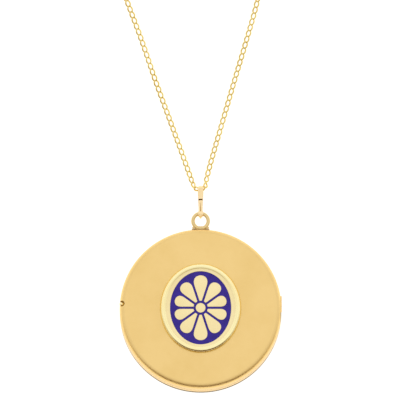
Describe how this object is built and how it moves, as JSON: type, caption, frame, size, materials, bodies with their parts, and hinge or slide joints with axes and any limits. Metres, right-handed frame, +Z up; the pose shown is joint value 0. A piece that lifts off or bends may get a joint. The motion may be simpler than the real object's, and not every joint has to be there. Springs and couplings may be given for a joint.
{
  "type": "locket",
  "caption": "Round hinged locket with an oval enamelled medallion, a snap ball, two framed picture places, a bail and a fine curb chain with a spring-ring clasp.",
  "frame": {"origin": "centre of the flat back face that the closed locket lies on", "axes": "+Z up out of the front cover, +Y from the case to the suspension ring and bail, +X towards the hinge"},
  "size_m": [0.0448, 0.1456, 0.0081],
  "materials": {
    "satin_gold": "satin brushed gold plate",
    "polished_gold": "polished gold plate",
    "pale_gold": "fine satin pale gold",
    "chain_gold": "polished gold plate",
    "blue_enamel": "fired violet-blue enamel, glossy",
    "clear_lens": "clear protector",
    "card": "blank matt card",
    "spring_steel": "bright drawn wire"
  },
  "bodies": {
    "case": {"back_cover": "satin_gold", "back_inner_band": "polished_gold", "back_photo_frame": "polished_gold", "back_lens": "clear_lens", "back_photo_card": "card", "hinge_knuckle_back_lower": "satin_gold", "hinge_knuckle_back_upper": "satin_gold", "hinge_pin": "polished_gold", "catch_ball": "polished_gold", "ring_base_collar": "polished_gold", "suspension_ring": "polished_gold"},
    "lid": {"front_cover": "satin_gold", "front_photo_frame": "polished_gold", "front_lens": "clear_lens", "front_photo_card": "card", "hinge_knuckle_front": "satin_gold", "medallion_bezel": "polished_gold", "medallion_plaque": "pale_gold", "enamel_field": "blue_enamel"},
    "bail": {"bail": "polished_gold"},
    "chain": {"chain_left_run": "chain_gold", "chain_right_run": "chain_gold", "chain_coil": "chain_gold", "clasp_body": "polished_gold", "clasp_spring": "spring_steel", "clasp_jump_ring": "polished_gold", "end_ring": "polished_gold"},
    "clasp_trigger": {"clasp_trigger": "polished_gold"}
  },
  "joints": [
    {"name": "lid_hinge", "type": "hinge", "parent": "case", "child": "lid", "pos_m": [0.0221, 0.00173, 0.0034], "axis": [0, 1, 0], "range_deg": [0, 165]},
    {"name": "bail_swing", "type": "hinge", "parent": "case", "child": "bail", "pos_m": [0, 0.02716, 0.0034], "axis": [1, 0, 0], "range_deg": [-90, 90]},
    {"name": "chain_swing", "type": "hinge", "parent": "bail", "child": "chain", "pos_m": [0, 0.0342, 0.00141], "axis": [1, 0, 0], "range_deg": [-80, 80]},
    {"name": "clasp_pull", "type": "hinge", "parent": "chain", "child": "clasp_trigger", "pos_m": [-0.0029, 0.1095, 0.00052], "axis": [0, 0, -1], "range_deg": [0, 44], "stiffness_Nm_per_rad": 0.0001}
  ]
}
